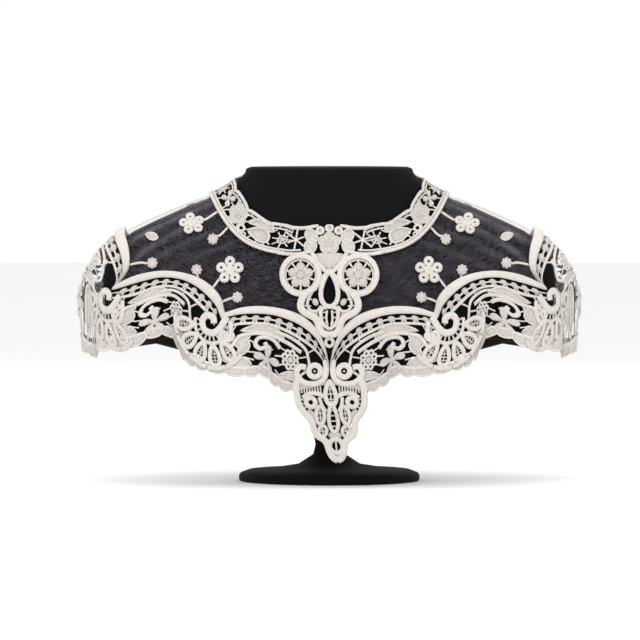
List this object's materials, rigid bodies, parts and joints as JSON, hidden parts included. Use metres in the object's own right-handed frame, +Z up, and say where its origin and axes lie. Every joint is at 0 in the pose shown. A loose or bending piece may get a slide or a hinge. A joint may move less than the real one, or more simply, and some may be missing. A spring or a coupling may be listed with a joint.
{
  "type": "lace collar on a display bust",
  "caption": "Ivory net and guipure lace cape collar with a scalloped border and pointed centre front, resting on a small black display bust.",
  "frame": {"origin": "centre of the foot's flat base, under the middle of the bust, on the surface it stands on", "axes": "+Z up, -Y towards the collar's centre front, +X towards the right of a viewer who faces it"},
  "size_m": [0.4362, 0.2348, 0.271],
  "materials": {
    "lace": "matte",
    "net": "matte",
    "display": "matte"
  },
  "bodies": {
    "root": {"display_bust": "display", "display_foot": "display", "net_front": "net", "net_back_right": "net", "net_back_left": "net", "centre_motif": "lace", "neckband_right": "lace", "neckband_left": "lace", "tip_drop": "lace", "border_front_left": "lace", "border_front_right": "lace", "border_shoulder_left": "lace", "border_shoulder_right": "lace", "border_back_left": "lace", "border_back_right": "lace", "yoke_flower_front_left": "lace", "yoke_flower_front_right": "lace", "yoke_flower_back_left": "lace", "yoke_flower_back_right": "lace", "shoulder_flower_front_left": "lace", "shoulder_flower_front_right": "lace", "shoulder_flower_back_left": "lace", "shoulder_flower_back_right": "lace", "lower_dot_front_left": "lace", "lower_dot_front_right": "lace", "lower_dot_back_left": "lace", "lower_dot_back_right": "lace", "rope_dot_front_left": "lace", "rope_dot_front_right": "lace", "rope_dot_back_left": "lace", "rope_dot_back_right": "lace", "upper_dot_front_left": "lace", "upper_dot_front_right": "lace", "upper_dot_back_left": "lace", "upper_dot_back_right": "lace", "side_dot_front_left": "lace", "side_dot_front_right": "lace", "side_dot_back_left": "lace", "side_dot_back_right": "lace", "side_leaf_front_left": "lace", "side_leaf_front_right": "lace", "side_leaf_back_left": "lace", "side_leaf_back_right": "lace", "button_upper": "lace", "button_lower": "lace"}
  },
  "joints": []
}
